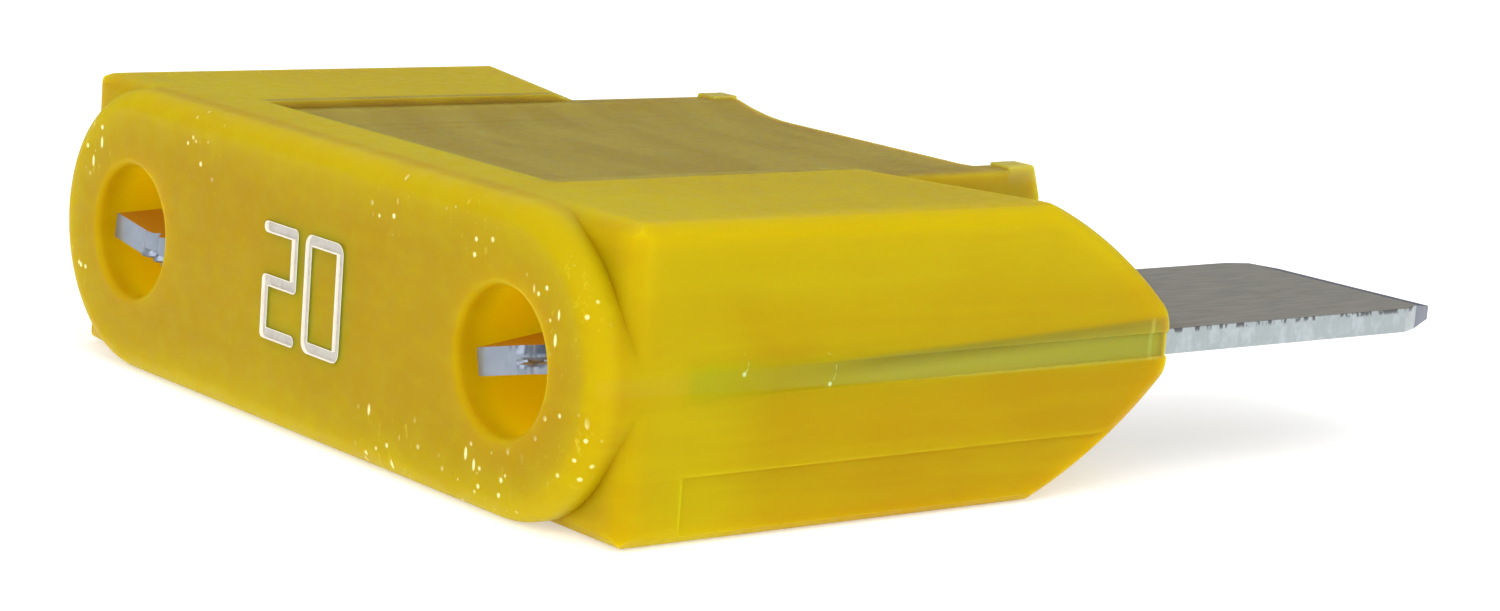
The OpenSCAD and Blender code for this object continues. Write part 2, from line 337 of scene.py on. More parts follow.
def make_column(side):
    """Column with a straight part and a curved nose, soft outer corners."""
    cy, cz = nose_centre()
    sweep = (math.atan2(HALF_T - cz, STRAIGHT - cy)
             - math.atan2(NOSE_TIP - cz, NOSE_END - cy))
    inner = BLOCK_HALF_W - COLUMN_SINK
    bm = bmesh.new()
    back_top = bm.verts.new((inner, HIDDEN_START, HALF_T))
    back_low = bm.verts.new((inner, HIDDEN_START, -HALF_T))
    start = bm.verts.new((inner, STRAIGHT, HALF_T))
    tip = arc(bm, start, (inner, cy, cz), (1, 0, 0), -sweep, NOSE_STEPS)
    low_tip = bm.verts.new((inner, NOSE_END, -NOSE_TIP))
    low_end = arc(bm, low_tip, (inner, cy, -cz), (1, 0, 0), -sweep, NOSE_STEPS)
    for pair in ((back_top, start), (tip, low_tip), (low_end, back_low),
                 (back_low, back_top)):
        bm.edges.new(pair)
    face = close_outline(bm)
    thicken(bm, [face], (HALF_W - inner, 0, 0))
    outer = edges_at(bm, lambda p: p.x > HALF_W - MERGE)
    hidden = edges_at(bm, lambda p: p.y < HIDDEN_START + MERGE)
    tip_edge = edges_at(bm, lambda p: abs(p.z) < NOSE_TIP + MERGE)
    rim = [e for e in outer if e not in hidden and e not in tip_edge]
    soften(bm, rim, COLUMN_EDGE_R, 6)
    turn = math.atan2(FACET_LEAD, HALF_W - BLOCK_HALF_W)
    for up in (1, -1):
        cut_away(bm, (HALF_W, STRAIGHT, up * HALF_T), Matrix.Rotation(turn, 3, "Z")
                 @ Vector((0, math.sin(FACET_TILT), math.cos(FACET_TILT) * up)))
    if side < 0:
        bmesh.ops.scale(bm, vec=(-1, 1, 1), verts=bm.verts)
    return finish_mesh(bm, "column")


def slant_end(bm, ways):
    """Slants an end back towards its top (1) or its underside (-1)."""
    for up in ways:
        cut_away(bm, (0, BLOCK_END, up * SLANT_Z),
                 (0, math.cos(SLANT), up * math.sin(SLANT)))


def make_block():
    """Middle block: sunk panel, concave blends and side ridges."""
    rise = RIDGE_Z - PANEL_Z
    radius = (BLEND_W ** 2 + rise ** 2) / (2 * rise)
    turn = math.asin(BLEND_W / radius)
    panel_half = BLOCK_HALF_W - RIDGE_W - BLEND_W
    bm = bmesh.new()
    chains = []
    for up in (1, -1):
        right = bm.verts.new((panel_half, 0, up * PANEL_Z))
        inner_right = arc(bm, right, (panel_half, 0, up * (PANEL_Z + radius)),
                          (0, 1, 0), -up * turn, BLEND_STEPS)
        left = bm.verts.new((-panel_half, 0, up * PANEL_Z))
        inner_left = arc(bm, left, (-panel_half, 0, up * (PANEL_Z + radius)),
                         (0, 1, 0), up * turn, BLEND_STEPS)
        outer_right = bm.verts.new((BLOCK_HALF_W, 0, up * RIDGE_Z))
        outer_left = bm.verts.new((-BLOCK_HALF_W, 0, up * RIDGE_Z))
        bm.edges.new((right, left))
        bm.edges.new((inner_right, outer_right))
        bm.edges.new((inner_left, outer_left))
        chains.append((outer_right, outer_left))
    bm.edges.new((chains[0][0], chains[1][0]))
    bm.edges.new((chains[0][1], chains[1][1]))
    face = close_outline(bm)
    bmesh.ops.translate(bm, verts=bm.verts, vec=(0, HIDDEN_START, 0))
    thicken(bm, [face], (0, BLOCK_END - HIDDEN_START, 0))
    corner = [e for e in bm.edges
              if all(abs(abs(v.co.x) - BLOCK_HALF_W) < MERGE
                     and abs(abs(v.co.z) - RIDGE_Z) < MERGE for v in e.verts)
              and abs(e.verts[0].co.y - e.verts[1].co.y) > MERGE]
    soften(bm, corner, RIDGE_R, 4)
    slant_end(bm, (1, -1))
    return finish_mesh(bm, "middle_block")


def make_fillet(up):
    """Concave blend from the sunk panel up to the collar."""
    radius = HALF_T - PANEL_Z - FILLET_SHY
    start = COLLAR_END - SINK
    bm = bmesh.new()
    low = bm.verts.new((-BLOCK_HALF_W, start, PANEL_Z - SINK))
    top = bm.verts.new((-BLOCK_HALF_W, start, PANEL_Z + radius))
    edge = bm.verts.new((-BLOCK_HALF_W, COLLAR_END, PANEL_Z + radius))
    toe = arc(bm, edge, (-BLOCK_HALF_W, COLLAR_END + radius, PANEL_Z + radius),
              (1, 0, 0), math.pi / 2, FILLET_STEPS)
    end = bm.verts.new((-BLOCK_HALF_W, COLLAR_END + radius, PANEL_Z - SINK))
    for pair in ((low, top), (top, edge), (toe, end), (end, low)):
        bm.edges.new(pair)
    thicken(bm, [close_outline(bm)], (2 * BLOCK_HALF_W, 0, 0))
    bmesh.ops.scale(bm, vec=(1, 1, up), verts=bm.verts)
    return finish_mesh(bm, "fillet")


def make_pad(side, up):
    """Small raised pad on an end corner of the block."""
    bm = bmesh.new()
    inner, outer = BLOCK_HALF_W - PAD_W, BLOCK_HALF_W
    block(bm, (inner, BLOCK_END - PAD_LEN, PANEL_Z - PAD_SINK),
          (outer, BLOCK_END, RIDGE_Z + PAD_H))
    outer_edge = edges_at(bm, lambda p: p.z > RIDGE_Z and p.x > outer - MERGE)
    soften(bm, outer_edge, PAD_EDGE_R, 3)
    back_edge = edges_at(bm, lambda p: p.z > RIDGE_Z - SINK
                         and p.y < BLOCK_END - PAD_LEN + MERGE)
    soften(bm, back_edge, PAD_BACK_R, 2)
    slant_end(bm, (1,))
    bmesh.ops.scale(bm, vec=(side, 1, up), verts=bm.verts)
    return finish_mesh(bm, "pad")


def make_test_hole(side):
    """Cutter for a test hole with its flared lip."""
    bm = bmesh.new()
    flare = HOLE_R + HOLE_LIP
    axis_top = bm.verts.new((0, -PAST, 0))
    wide_top = bm.verts.new((flare, -PAST, 0))
    wide = bm.verts.new((flare, 0, 0))
    waist = arc(bm, wide, (flare, HOLE_LIP, 0), (0, 0, 1), -math.pi / 2, LIP_STEPS)
    foot = bm.verts.new((HOLE_R, SHOULDER_Y, 0))
    axis_foot = bm.verts.new((0, SHOULDER_Y, 0))
    for pair in ((axis_top, wide_top), (wide_top, wide), (waist, foot),
                 (foot, axis_foot)):
        bm.edges.new(pair)
    bmesh.ops.spin(bm, geom=bm.verts[:] + bm.edges[:], cent=(0, 0, 0), axis=(0, 1, 0),
                   angle=2 * math.pi, steps=HOLE_STEPS, use_merge=True)
    bmesh.ops.translate(bm, verts=bm.verts, vec=(side * HOLE_X, 0, 0))
    return finish_mesh(bm, "test_hole")


def make_box_tool(low, high, mirrored=False):
    """Straight cutter between two corners."""
    bm = bmesh.new()
    verts = block(bm, low, high)
    if mirrored:
        bmesh.ops.scale(bm, vec=(-1, 1, 1), verts=verts)
    return finish_mesh(bm, "cutter")


def make_window_tool(mirrored):
    """Cutter for the window: it deepens from nothing towards the nose."""
    bm = bmesh.new()
    verts = block(bm, (HALF_W, WINDOW_START, -WINDOW_HALF),
                  (HALF_W + PAST, BLOCK_END + PAST, WINDOW_HALF))
    for v in verts:
        if v.co.x < HALF_W + MERGE:
            run = (v.co.y - WINDOW_START) / (NOSE_END - WINDOW_START)
            v.co.x -= WINDOW_DEPTH * run
            v.co.z *= WINDOW_FLOOR
        else:
            v.co.z *= WINDOW_FLARE
    if mirrored:
        bmesh.ops.scale(bm, vec=(-1, 1, 1), verts=verts)
    return finish_mesh(bm, "window")


def make_figure(points, closed, x, front, back, grow):
    """Solid of one figure's stroke: a flat band along its centre line, thickened
    from front to back, with its corners mitred and then rounded."""
    half = STROKE / 2 + grow
    band = bmesh.new()
    count = len(points)
    rows = []
    for i, (px, pz) in enumerate(points):
        here = Vector((px, pz))
        before = Vector(points[i - 1]) if closed or i else None
        after = Vector(points[(i + 1) % count]) if closed or i < count - 1 else None
        came = (here - before).normalized() if before is not None else None
        goes = (after - here).normalized() if after is not None else None
        if came is None:
            side = Vector((-goes.y, goes.x))
            here = here - goes * half
        elif goes is None:
            side = Vector((-came.y, came.x))
            here = here + came * half
        else:
            side = Vector((-came.y, came.x)) + Vector((-goes.y, goes.x))
        rows.append((here + side * half, here - side * half))
    made = [(band.verts.new((x + a.x, front, a.y)), band.verts.new((x + b.x, front, b.y)))
            for a, b in rows]
    pairs = list(zip(made, made[1:]))
    if closed:
        pairs.append((made[-1], made[0]))
    faces = [band.faces.new((a[0], b[0], b[1], a[1])) for a, b in pairs]
    thicken(band, faces, (0, back - front, 0))
    bmesh.ops.recalc_face_normals(band, faces=band.faces)
    turns = [e for e in band.edges
             if abs(e.verts[0].co.y - e.verts[1].co.y) > MERGE and e.is_convex
             and len(e.link_faces) == 2 and e.calc_face_angle(0) > 0.5]
    soften(band, turns, FIGURE_R + grow, 5)
    return finish_mesh(band, "figure")


def figure_paths():
    """Centre lines of the figures 2 and 0: points, closed or not, x."""
    total = TWO_W + FIGURE_GAP + ZERO_W
    two_x, zero_x = (TWO_W - total) / 2, (total - ZERO_W) / 2
    w2, w0, h = (TWO_W - STROKE) / 2, (ZERO_W - STROKE) / 2, (FIGURE_H - STROKE) / 2
    two = [(-w2, h), (w2, h), (w2, 0), (-w2, 0), (-w2, -h), (w2, -h)]
    zero = [(-w0, h), (w0, h), (w0, -h), (-w0, -h)]
    return ((two, False, two_x), (zero, True, zero_x))


def make_housing():
    """One-piece moulded housing."""
    shell = make_head()
    for piece in (make_collar(), make_block(), make_column(1), make_column(-1)):
        combine(shell, piece, "UNION")
    for up in (1, -1):
        combine(shell, make_fillet(up), "UNION")
        for side in (1, -1):
            combine(shell, make_pad(side, up), "UNION")
    far = BLOCK_END + PAST
    for mirrored in (False, True):
        combine(shell, make_test_hole(-1 if mirrored else 1), "DIFFERENCE")
        combine(shell, make_box_tool(
            (BLADE_INNER - SLOT_GAP, SHOULDER_Y, -BLADE_T / 2 - SLOT_GAP),
            (SLOT_OUTER, far, BLADE_T / 2 + SLOT_GAP), mirrored), "DIFFERENCE")
        combine(shell, make_window_tool(mirrored), "DIFFERENCE")
        combine(shell, make_box_tool(
            (HALF_W - STEP_DEPTH, COLLAR_END, -HALF_T - PAST),
            (HALF_W + PAST, far, -STEP_DROP), mirrored), "DIFFERENCE")
    combine(shell, make_box_tool((-CHAMBER_W, CHAMBER_Y, -CHAMBER_T),
                                 (CHAMBER_W, far, CHAMBER_T)), "DIFFERENCE")
    for points, closed, x in figure_paths():
        combine(shell, make_figure(points, closed, x, -PAST, FIGURE_DEPTH, 0),
                "DIFFERENCE")
    return shell


def make_lining():
    """Thin pale lining on the floor and walls of the engraved figures."""
    lining = None
    for points, closed, x in figure_paths():
        outer = make_figure(points, closed, x, LINING_TOP, FIGURE_DEPTH - LINING_GAP,
                            -LINING_GAP)
        inner = make_figure(points, closed, x, -PAST,
                            FIGURE_DEPTH - LINING_GAP - LINING_T,
                            -LINING_GAP - LINING_T)
        combine(outer, inner, "DIFFERENCE")
        if lining is None:
            lining = outer
        else:
            combine(lining, outer, "UNION")
    return lining


# ---------------------------------------------------------------- element
def make_blade(side):
    """Blade with its hidden shank, cut tip corners and thinned lead-in."""
    bm = bmesh.new()
    outline = [(BLADE_INNER, SHOULDER_Y), (BLADE_OUTER, SHOULDER_Y),
               (BLADE_OUTER, BLADE_END - TIP_CORNER_L),
               (BLADE_OUTER - TIP_CORNER_W, BLADE_END),
               (BLADE_INNER + TIP_CORNER_W, BLADE_END),
               (BLADE_INNER, BLADE_END - TIP_CORNER_L)]
    face = bm.faces.new([bm.verts.new((x, y, -BLADE_T / 2)) for x, y in outline])
    thicken(bm, [face], (0, 0, BLADE_T))
    lead_y = BLADE_END - LEAD_LEN
    score(bm, (0, lead_y, 0), (0, 1, 0))
    for v in bm.verts:
        along = max(0.0, (v.co.y - lead_y) / LEAD_LEN)
        v.co.z *= 1 - along * (1 - TIP_T / BLADE_T)
    bmesh.ops.recalc_face_normals(bm, faces=bm.faces)
    soften(bm, [e for e in bm.edges if e.calc_face_angle(0) > 0.2], BLADE_EDGE_R, 2)
    if side < 0:
        bmesh.ops.scale(bm, vec=(-1, 1, 1), verts=bm.verts)
    return finish_mesh(bm, "element")


def torn_end(side, across, up):
    """Depth of a tab's end at a place across and up it, in millimetres: nearly
    flat, then a ridge, then a torn half with one crack or two grooves and a lip."""
    past = across - TAB_FLAT
    if past < 0:
        return 0.02 * (across / TAB_FLAT) ** 2
    ridge = -0.06 * math.exp(-(past / 0.09) ** 2)
    if side > 0:
        crack = 0.2 * math.exp(-((up + 0.02 + 0.06 * math.sin(3 * past)) / 0.07) ** 2)
        return ridge + 0.10 + 0.05 * math.sin(6 * past) + crack + 0.08 * max(0, up) / 0.4
    grooves = 0.22 * (math.exp(-((past - 0.45) / 0.12) ** 2)
                      + math.exp(-((past - 0.95) / 0.13) ** 2))
    lip = -0.12 * math.exp(-((up + 0.34) / 0.08) ** 2)
    return ridge + 0.06 + grooves + lip


def make_tab(side, twist, drop):
    """Tab that stands in a test hole, twisted, with a torn end."""
    bm = bmesh.new()
    length = SHOULDER_Y - TAB_TOP
    face_up = Matrix.Rotation(math.pi / 2, 4, "X")
    size = Matrix.Diagonal((TAB_W, 1, BLADE_T, 1))
    bmesh.ops.create_grid(bm, x_segments=42, y_segments=12, size=0.5,
                          matrix=size @ face_up)
    thicken(bm, bm.faces[:], (0, length + TAB_ROOT, 0))
    bmesh.ops.recalc_face_normals(bm, faces=bm.faces)
    soften(bm, [e for e in bm.edges if e.calc_face_angle(0) > 1.0
                and abs(e.verts[0].co.y - e.verts[1].co.y) > 1], TAB_EDGE_R, 3)
    for i in range(1, TAB_RINGS):
        score(bm, (0, i * length / TAB_RINGS, 0), (0, 1, 0))
    for v in bm.verts:
        if v.co.y < MERGE:
            v.co.y = torn_end(side, v.co.x + TAB_W / 2, v.co.z)
        bent = max(0.0, 1 - v.co.y / length)
        spun = Matrix.Rotation(-twist * side * bent, 3, "Y") @ v.co
        v.co = Vector((spun.x, v.co.y, spun.z - drop * bent))
    bmesh.ops.translate(bm, verts=bm.verts, vec=(side * HOLE_X, TAB_TOP, 0))
    return finish_mesh(bm, "tab")


def make_link():
    """Flat S-shaped fuse link between the blades, necked in the middle."""
    bm = bmesh.new()
    half = LINK_W / 2
    reach = BLADE_INNER + LINK_LAP
    y0, y1, y2 = (LINK_FIRST + i * LINK_PITCH for i in range(3))
    a = bm.verts.new((-reach, y0 - half, 0))
    b = bm.verts.new((-reach, y0 + half, 0))
    tail = [bm.edges.new((a, b))]

    def run(edges, vector):
        made = bmesh.ops.extrude_edge_only(bm, edges=edges)["geom"]
        bmesh.ops.translate(bm, vec=vector,
                            verts=[g for g in made if isinstance(g, bmesh.types.BMVert)])
        return [g for g in made if isinstance(g, bmesh.types.BMEdge)
                and all(v in made for v in g.verts)]

    def turn(edges, centre, angle):
        geom = edges + [v for e in edges for v in e.verts]
        made = bmesh.ops.spin(bm, geom=geom, cent=centre, axis=(0, 0, 1),
                              angle=angle, steps=TURN_STEPS)["geom_last"]
        return [g for g in made if isinstance(g, bmesh.types.BMEdge)]

    tail = run(tail, (reach + LINK_TURN_X, 0, 0))
    tail = turn(tail, (LINK_TURN_X, (y0 + y1) / 2, 0), math.pi)
    tail = run(tail, (-2 * LINK_TURN_X, 0, 0))
    tail = turn(tail, (-LINK_TURN_X, (y1 + y2) / 2, 0), -math.pi)
    run(tail, (reach + LINK_TURN_X, 0, 0))
    for i in range(-NECK_STEPS, NECK_STEPS + 1):
        score(bm, (i * NECK_R / NECK_STEPS, 0, 0), (1, 0, 0))
    for v in bm.verts:
        if abs(v.co.x) < NECK_R and abs(abs(v.co.y - y1) - half) < MERGE:
            cut = math.sqrt(NECK_R ** 2 - v.co.x ** 2)
            v.co.y -= math.copysign(cut, v.co.y - y1)
    bmesh.ops.translate(bm, verts=bm.verts, vec=(0, 0, -LINK_T / 2))
    thicken(bm, bm.faces[:], (0, 0, LINK_T))
    return finish_mesh(bm, "link")


def make_element():
    """One-piece stamped element."""
    element = make_blade(1)
    for piece in (make_blade(-1), make_link(), make_tab(1, RIGHT_TWIST, 0),
                  make_tab(-1, LEFT_TWIST, LEFT_DROP)):
        combine(element, piece, "UNION")
    return element


# --------------------------------------------------------------- materials
class Link:
    """A node's output that can be used in ordinary arithmetic."""

    def __init__(self, paint, socket):
        self.paint = paint
        self.socket = socket

    def _math(self, operation, *values):
        return self.paint.node("ShaderNodeMath", {"operation": operation}, *values)

    def __add__(self, other):
        return self._math("ADD", self, other)

    def __radd__(self, other):
        return self._math("ADD", other, self)

    def __sub__(self, other):
        return self._math("SUBTRACT", self, other)

    def __rsub__(self, other):
        return self._math("SUBTRACT", other, self)

    def __mul__(self, other):
        return self._math("MULTIPLY", self, other)

    def __rmul__(self, other):
        return self._math("MULTIPLY", other, self)

    def __truediv__(self, other):
        return self._math("DIVIDE", self, other)

    def __abs__(self):
        return self._math("ABSOLUTE", self)

    def __neg__(self):
        return self._math("MULTIPLY", self, -1.0)

    def most(self, other):
        return self._math("MAXIMUM", self, other)

    def least(self, other):
        return self._math("MINIMUM", self, other)


class Paint:
    """A material's node tree, and its one Principled shader."""

    def __init__(self, name):
        self.material = bpy.data.materials.new(name)
        self.material.use_nodes = True
        self.tree = self.material.node_tree
        self.shader = self.tree.nodes["Principled BSDF"]

    def node(self, kind, settings, *values, out=0, **named):
        made = self.tree.nodes.new(kind)
        for key, value in settings.items():
            setattr(made, key, value)
        for socket, value in zip(made.inputs, values):
            self.feed(socket, value)
        for key, value in named.items():
            self.feed(made.inputs[key.replace("_", " ")], value)
        return Link(self, made.outputs[out])

    def feed(self, socket, value):
        if isinstance(value, Link):
            self.tree.links.new(value.socket, socket)
        elif value is not None:
            socket.default_value = value

    def set(self, **values):
        for key, value in values.items():
            self.feed(self.shader.inputs[key.replace("_", " ")], value)

    def place(self):
        """Object coordinates in the fuse's own millimetres: vector, x, y, z."""
        here = self.tree.nodes.new("ShaderNodeTexCoord").outputs["Object"]
        moved = self.node("ShaderNodeVectorMath", {"operation": "SUBTRACT"},
                          Link(self, here), (0, HEAD_Y, MID_Z))
        sized = self.node("ShaderNodeVectorMath", {"operation": "SCALE"}, moved,
                          Scale=1 / MM)
        split = self.tree.nodes.new("ShaderNodeSeparateXYZ")
        self.feed(split.inputs[0], sized)
        return (sized, *(Link(self, o) for o in split.outputs))

    def upward(self):
        """How far the surface faces along z, from -1 to 1."""
        split = self.tree.nodes.new("ShaderNodeSeparateXYZ")
        normal = self.tree.nodes.new("ShaderNodeTexCoord").outputs["Normal"]
        self.feed(split.inputs[0], Link(self, normal))
        return Link(self, split.outputs["Z"])

    def length(self, x, y, z):
        """Length of the vector with these parts."""
        vector = self.node("ShaderNodeCombineXYZ", {}, x, y, z)
        return self.node("ShaderNodeVectorMath", {"operation": "LENGTH"}, vector, out=1)

    def rise(self, value, low, high):
        """0 below low, 1 above high, smooth between."""
        return self.node("ShaderNodeMapRange", {"interpolation_type": "SMOOTHSTEP"},
                         value, low, high, 0.0, 1.0)

    def band(self, value, low, high, soft):
        """1 between low and high, with soft edges."""
        return (self.rise(value, low - soft, low + soft)
                * (1 - self.rise(value, high - soft, high + soft)))

    def noise(self, where, scale, detail=2.0, roughness=0.5, stretch=(1, 1, 1)):
        spread = self.node("ShaderNodeMapping", {}, where, Scale=stretch)
        return self.node("ShaderNodeTexNoise", {}, spread, Scale=scale, Detail=detail,
                         Roughness=roughness)

    def dots(self, where, scale, size, stretch=(1, 1, 1)):
        """Small round specks, one at most to a cell; 1 inside, 0 outside."""
        spread = self.node("ShaderNodeMapping", {}, where, Scale=stretch)
        far = self.node("ShaderNodeTexVoronoi", {}, spread, Scale=scale)
        return 1 - self.rise(far, size * 0.5, size)

    def mix(self, first, second, factor):
        made = self.tree.nodes.new("ShaderNodeMix")
        made.data_type = "RGBA"
        for socket, value in ((made.inputs[0], factor), (made.inputs[6], first),
                              (made.inputs[7], second)):
            self.feed(socket, value)
        return Link(self, made.outputs[2])

    def mix_value(self, low, high, factor):
        """A number that goes from low to high."""
        return factor * (high - low) + low

    def bump(self, height, strength, distance):
        return self.node("ShaderNodeBump", {}, Strength=strength, Distance=distance,
                         Height=height)


def colour(red, green, blue):
    """Linear colour from an everyday 0 to 255 one."""
    def linear(c):
        c /= 255
        return c / 12.92 if c <= 0.04045 else ((c + 0.055) / 1.055) ** 2.4
    return (linear(red), linear(green), linear(blue), 1.0)


def nylon():
    """Translucent yellow nylon, satin, greyer over the hollow chamber, partly by painted
    sheen, with painted light and shade in places.
    """
    p = Paint("yellow nylon")
    where, x, y, z = p.place()
    side, height = abs(x), abs(z)

    # the head's face towards its rim, the ears and the upper half of the sides are
    # painted lighter and greener, as painted light; elsewhere the nylon is warmer, and
    # clouds and flow streaks are its own uneven tone
    cloud = p.noise(where, 0.16, 3.0)
    grain = p.noise(where, 1.6, 3.0, 0.6)
    outer = p.length((side - HOLE_X).most(0.0), 0.0, z)
    painted_rim_light = p.rise(outer, 2.3, HALF_T) * (1 - p.rise(y, 0.3, HEAD_LEN + 0.4))
    painted_top_light = p.rise(z, 0.2, 3.2) * p.rise(y, HEAD_LEN, HEAD_LEN + 0.6)
    # the ears are painted lighter, a painted highlight
    ears = (p.band(y, HEAD_LEN, COLLAR_END + 2.0, 1.6)
            * p.rise(side, HALF_W - 1.6, HALF_W - 0.5))
    flow = p.noise(where, 0.8, 3.0, 0.6, (1.0, 0.12, 1.6))
    light = (painted_rim_light.most(painted_top_light).most(ears) * 0.75 + p.rise(cloud, 0.3, 0.7) * 0.3
             + p.rise(flow, 0.4, 0.7) * 0.25)
    base = p.mix(colour(172, 138, 2), colour(182, 162, 4), light.least(1.0))

    # the panel is greyer, partly because the chamber and its link show through and
    # partly as a painted sheen
    over_panel = ((1 - p.rise(side, BLOCK_HALF_W - 0.12, BLOCK_HALF_W + 0.12))
                  * p.rise(y, COLLAR_END - 0.25, COLLAR_END + 0.35)
                  * p.rise(height, CHAMBER_T - 0.2, CHAMBER_T + 0.4))
    panel = p.mix(colour(138, 119, 44), colour(146, 129, 50),
                  p.rise(p.noise(where, 0.5, 2.0, 0.5, (0.3, 1.2, 1)), 0.35, 0.65))
    base = p.mix(base, panel, over_panel * 0.95)

    # flat faces of the columns, where the blade lies underneath
    over_blade = (p.band(side, BLOCK_HALF_W + 0.1, HALF_W - 0.9, 0.12)
                  * p.rise(abs(p.upward()), 0.75, 0.95) * p.rise(y, 4.0, 7.0))
    base = p.mix(base, colour(178, 152, 6), over_blade * 0.4)

    # window band: thin skin that the blade's edge shows through; it gets taller
    # towards the nose, and its top is painted darker, a painted shadow of the groove's
    # upper wall
    on_side = p.rise(side, HALF_W - 0.35, HALF_W - 0.2)
    top_edge = (y - 8.0).most(0.0) * 0.036 + 0.34
    low_edge = (y - 14.0).least(0.0) * -0.02 - 0.42
    in_window = (p.rise(z - low_edge, -0.05, 0.05)
                 * (1 - p.rise(z - top_edge, -0.1, 0.12)) * on_side)
    fade = p.rise(y, SHOULDER_Y + 0.4, SHOULDER_Y + 8.0)
    groove_top_shadow = p.rise(z - top_edge, -0.62, -0.12)
    streak = p.noise(where, 1.0, 2.0, 0.5, (1, 0.2, 3.0))
    window = p.mix(colour(178, 158, 52), colour(136, 124, 36), groove_top_shadow * fade)
    window = p.mix(window, colour(172, 160, 70), p.rise(streak, 0.5, 0.8) * 0.25)
    base = p.mix(base, window, in_window * (fade * 0.75 + 0.15))
    # a bright line across the window near the nose, a painted highlight on the end edge
    # of the thin web
    web_end_highlight = p.band(y, NOSE_END - 0.75, NOSE_END - 0.6, 0.06) * in_window
    base = p.mix(base, colour(206, 192, 90), web_end_highlight * 0.4)
    # the window's end by the nose is painted darker brown, a painted shadow on the
    # blade's edge
    window_end_shadow = p.rise(y, NOSE_END - 0.5, NOSE_END - 0.1) * in_window
    base = p.mix(base, colour(150, 112, 40), window_end_shadow * 0.7)

    # the pads are thin and pale
    on_pad = (p.band(side, BLOCK_HALF_W - PAD_W - 0.05, BLOCK_HALF_W + 0.05, 0.08)
              * p.rise(height, RIDGE_Z - 0.6, RIDGE_Z - 0.1)
              * p.rise(y, BLOCK_END - PAD_LEN - 0.15, BLOCK_END - PAD_LEN + 0.1))
    base = p.mix(base, colour(166, 158, 76), on_pad * 0.8)

    # parting line of the mould, low on the sides, with a dark line of painted shade along
    # the step there
    line = p.band(z, -STEP_DROP - 0.03, -STEP_DROP + 0.03, 0.03) * on_side
    base = p.mix(base, colour(160, 126, 10), line * p.rise(y, COLLAR_END, 6.0) * 0.5)

    # amber inside the test holes, which light through the plastic makes glow
    from_hole = p.length(side - HOLE_X, 0.0, z)
    in_hole = ((1 - p.rise(from_hole, HOLE_R - 0.02, HOLE_R + 0.25))
               * (1 - p.rise(y, SHOULDER_Y + 0.3, SHOULDER_Y + 0.6)))
    base = p.mix(base, colour(212, 168, 4), in_hole * p.rise(y, 0.2, 2.0))

    # tiny scuffs in patches near the head's rim
    on_face = (1 - p.rise(y, 0.3, 0.7)) * p.rise(outer, 2.3, 2.7)
    patch = 0.0
    for px, pz, radius in SCUFF_PATCHES:
        away = p.length(x - px, 0.0, z - pz)
        spot = 1 - p.rise(away, radius * 0.6, radius)
        patch = spot.most(patch)
    specks = (p.dots(where, 2.0, 0.2).most(p.dots(where, 1.5, 0.17, (1.3, 1, 0.5)))
              * patch * on_face)
    base = p.mix(base, colour(255, 246, 178), specks * 0.95)
    dust = p.dots(where, 0.33, 0.018)
    base = p.mix(base, colour(96, 76, 20), dust * 0.7)
    wear = p.rise(p.noise(where, 3.0, 4.0, 0.7, (1, 1, 0.5)), 0.58, 0.7) * patch * on_face
    base = p.mix(base, colour(214, 196, 60), wear * 0.5)

    # small broken scratches on the window, each with a bright spot at its foot
    broken = p.rise(p.noise(where, 3.5, 3.0, 0.7), 0.42, 0.6)
    for cy, cz, radius, first_y, last_y, foot_y, foot_z in SCRATCHES:
        ring = p.length(0.0, y - cy, z - cz)
        foot = p.length(0.0, y - foot_y, z - foot_z)
        mark = (p.band(ring, radius - 0.015, radius + 0.015, 0.025)
                * p.band(y, first_y, last_y, 0.1) * broken * 0.75)
        base = p.mix(base, colour(244, 236, 150),
                     mark.most(1 - p.rise(foot, 0.04, 0.09)) * on_side)

    p.set(Base_Color=base,
          Roughness=p.mix_value(0.4, 0.56, p.rise(grain, 0.3, 0.7)),
          Subsurface_Weight=1.0,
          Subsurface_Radius=(1.0, 0.6, 0.08),
          Subsurface_Scale=0.0025,
          Specular_IOR_Level=0.1,
          Specular_Tint=(1.0, 0.88, 0.35, 1.0),
          IOR=1.5,
          Emission_Color=p.mix((0, 0, 0, 1), (0.27, 0.19, 0.0, 1),
                               in_hole * p.rise(y, 0.0, 1.2)),
          Emission_Strength=1.0,
          Normal=p.bump(grain * 0.5 + specks * 1.5, 0.35, 0.00003))
    return p.material


